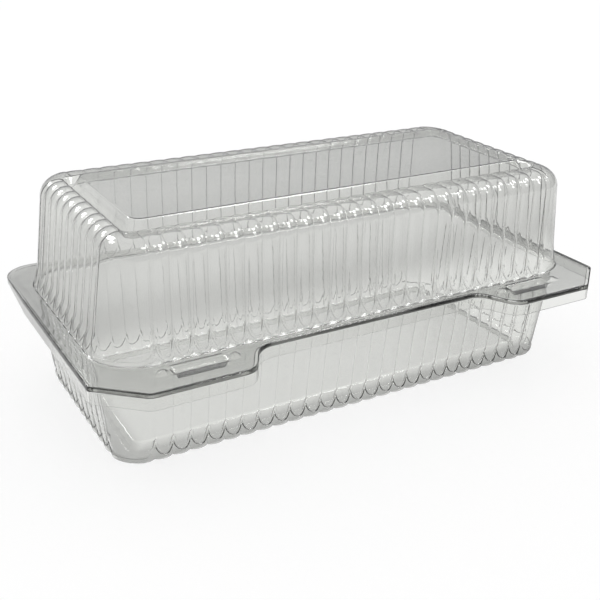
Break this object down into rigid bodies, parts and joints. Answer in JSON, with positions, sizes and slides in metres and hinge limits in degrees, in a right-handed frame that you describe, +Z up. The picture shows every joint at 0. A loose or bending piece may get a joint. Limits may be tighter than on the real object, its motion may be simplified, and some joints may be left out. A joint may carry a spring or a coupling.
{
  "type": "plastic loaf container",
  "caption": "Clear hinged loaf container: fluted tray and fluted dome lid joined by a fold along the back, with a turned-down flange and a press-lock tab at each front corner.",
  "frame": {"origin": "on the table, under the middle of the closed container's overall footprint", "axes": "+X along the loaf, +Y towards the fold at the back, +Z up"},
  "size_m": [0.24, 0.1338, 0.0936],
  "materials": {
    "clear_sheet": "clear, glossy"
  },
  "bodies": {
    "tray": {"tray": "clear_sheet"},
    "lid": {"lid": "clear_sheet"}
  },
  "joints": [
    {"name": "lid_hinge", "type": "hinge", "parent": "tray", "child": "lid", "pos_m": [0, 0.06638, 0.045], "axis": [-1, 0, 0], "range_deg": [0, 170]}
  ]
}
